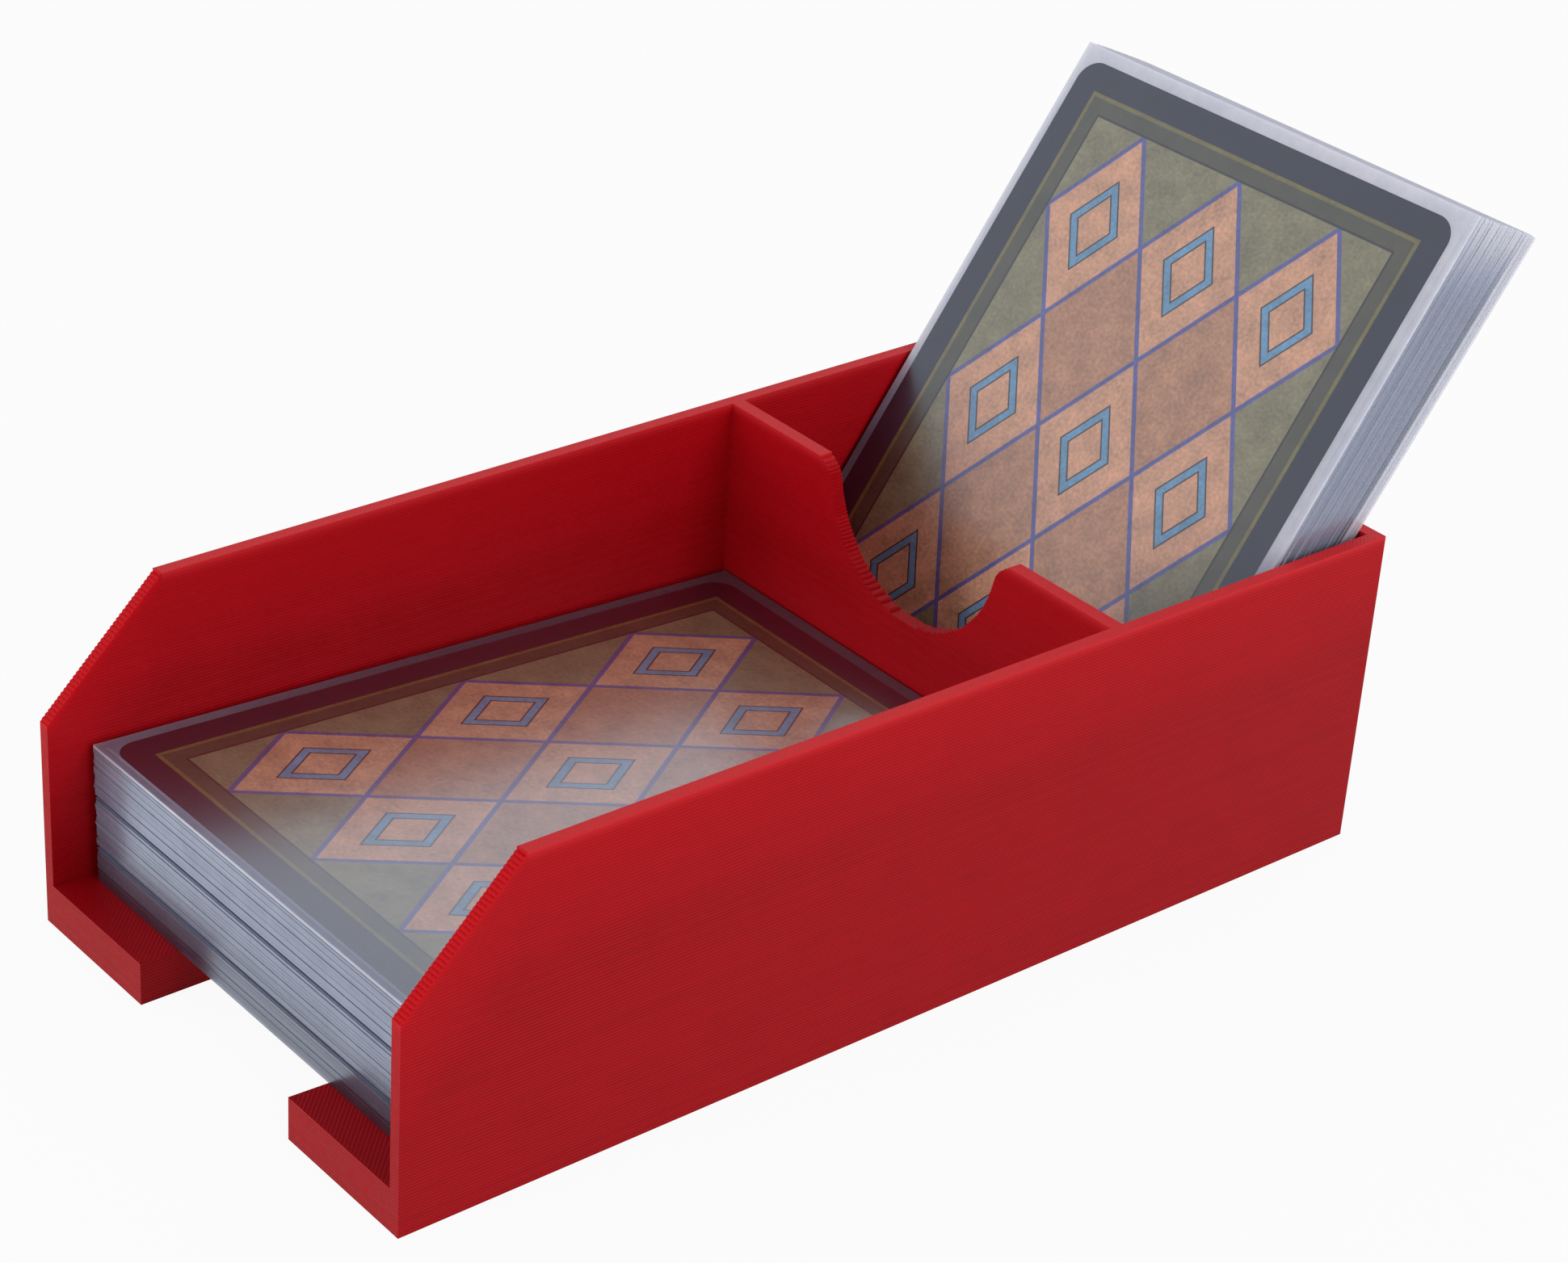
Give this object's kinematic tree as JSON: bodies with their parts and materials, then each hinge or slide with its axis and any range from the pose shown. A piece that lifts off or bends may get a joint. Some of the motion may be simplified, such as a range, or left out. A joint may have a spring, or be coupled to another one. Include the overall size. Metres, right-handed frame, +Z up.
{
  "type": "deck holder",
  "caption": "Open printed tray for sleeved cards, with a ramped front bay for a draw pile and a rear bay where the discards lean back behind a notched divider.",
  "frame": {"origin": "middle of the tray's underside, on the surface that it stands on", "axes": "+Z up, +Y from the open front to the rear wall, +X to the right as seen from the front"},
  "size_m": [0.0712, 0.1622, 0.0788],
  "materials": {
    "tray_print": "printed layers, satin",
    "card_stock": "printed and varnished",
    "sleeve_film": "clear film"
  },
  "bodies": {
    "tray": {"tray": "tray_print"},
    "draw_1": {"draw_card_1": "card_stock", "draw_sleeve_1": "sleeve_film"},
    "draw_2": {"draw_card_2": "card_stock", "draw_sleeve_2": "sleeve_film"},
    "draw_3": {"draw_card_3": "card_stock", "draw_sleeve_3": "sleeve_film"},
    "draw_4": {"draw_card_4": "card_stock", "draw_sleeve_4": "sleeve_film"},
    "draw_pile": {"draw_pile_cards": "card_stock", "draw_pile_sleeves": "sleeve_film"},
    "discard_1": {"discard_card_1": "card_stock", "discard_sleeve_1": "sleeve_film"},
    "discard_2": {"discard_card_2": "card_stock", "discard_sleeve_2": "sleeve_film"},
    "discard_3": {"discard_card_3": "card_stock", "discard_sleeve_3": "sleeve_film"},
    "discard_4": {"discard_card_4": "card_stock", "discard_sleeve_4": "sleeve_film"},
    "discard_pile": {"discard_pile_cards": "card_stock", "discard_pile_sleeves": "sleeve_film"}
  },
  "joints": [
    {"name": "draw_1_slide", "type": "slide", "parent": "tray", "child": "draw_1", "axis": [0, -0.9989, 0.0476], "range_m": [0, 0.097]},
    {"name": "draw_2_slide", "type": "slide", "parent": "tray", "child": "draw_2", "axis": [0, -0.9989, 0.0476], "range_m": [0, 0.097]},
    {"name": "draw_3_slide", "type": "slide", "parent": "tray", "child": "draw_3", "axis": [0, -0.9989, 0.0476], "range_m": [0, 0.097]},
    {"name": "draw_4_slide", "type": "slide", "parent": "tray", "child": "draw_4", "axis": [0, -0.9989, 0.0476], "range_m": [0, 0.097]},
    {"name": "draw_pile_slide", "type": "slide", "parent": "tray", "child": "draw_pile", "axis": [0, -0.9989, 0.0476], "range_m": [0, 0.097]},
    {"name": "discard_1_tip", "type": "hinge", "parent": "tray", "child": "discard_1", "pos_m": [0, 0.02861, 0.00489], "axis": [1, 0, 0], "range_deg": [0, 35.5]},
    {"name": "discard_2_lift", "type": "slide", "parent": "tray", "child": "discard_2", "axis": [0, 0.5853, 0.8108], "range_m": [0, 0.095]},
    {"name": "discard_3_lift", "type": "slide", "parent": "tray", "child": "discard_3", "axis": [0, 0.5861, 0.8103], "range_m": [0, 0.095]},
    {"name": "discard_4_lift", "type": "slide", "parent": "tray", "child": "discard_4", "axis": [0, 0.5868, 0.8097], "range_m": [0, 0.095]},
    {"name": "discard_pile_lift", "type": "slide", "parent": "tray", "child": "discard_pile", "axis": [0, 0.5876, 0.8092], "range_m": [0, 0.095]}
  ]
}
